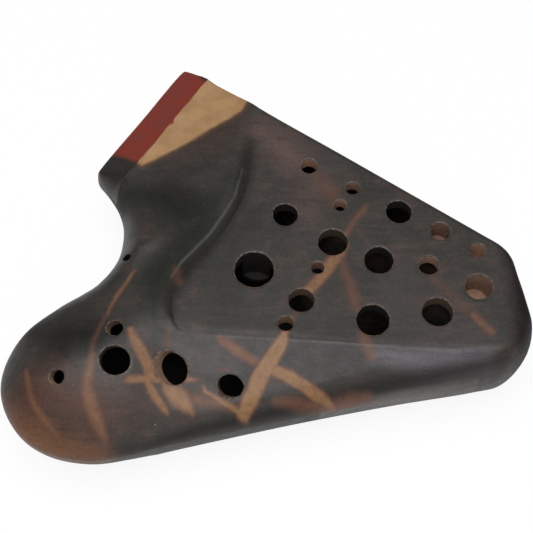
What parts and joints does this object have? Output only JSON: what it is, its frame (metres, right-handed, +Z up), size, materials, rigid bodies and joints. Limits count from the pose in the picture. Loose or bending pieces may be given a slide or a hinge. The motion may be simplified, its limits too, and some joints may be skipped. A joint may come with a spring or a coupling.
{
  "type": "triple ocarina",
  "caption": "Smoke-fired clay triple ocarina: separate air chambers side by side, one mouthpiece with a windway to each, finger holes on the front and thumb holes on the back.",
  "frame": {"origin": "middle of the body's box, on the surface that it lies on", "axes": "+X along the body from the rounded low lobe to the far end, +Y towards the mouthpiece side, +Z up through the finger holes"},
  "size_m": [0.1849, 0.1579, 0.0407],
  "materials": {
    "smoked_clay": "burnished, smoke-fired with straw marks, satin",
    "bare_clay": "matte unglazed clay",
    "lip_glaze": "red-brown gloss glaze"
  },
  "bodies": {
    "root": {"front_shell": "smoked_clay", "back_shell": "smoked_clay", "low_middle_partition": "bare_clay", "middle_high_partition": "bare_clay", "windway_floor": "bare_clay", "windway_roof": "bare_clay", "low_middle_windway_divider": "bare_clay", "middle_high_windway_divider": "bare_clay", "low_labium": "bare_clay", "middle_labium": "bare_clay", "high_labium": "bare_clay", "lip_glaze": "lip_glaze"}
  },
  "joints": []
}
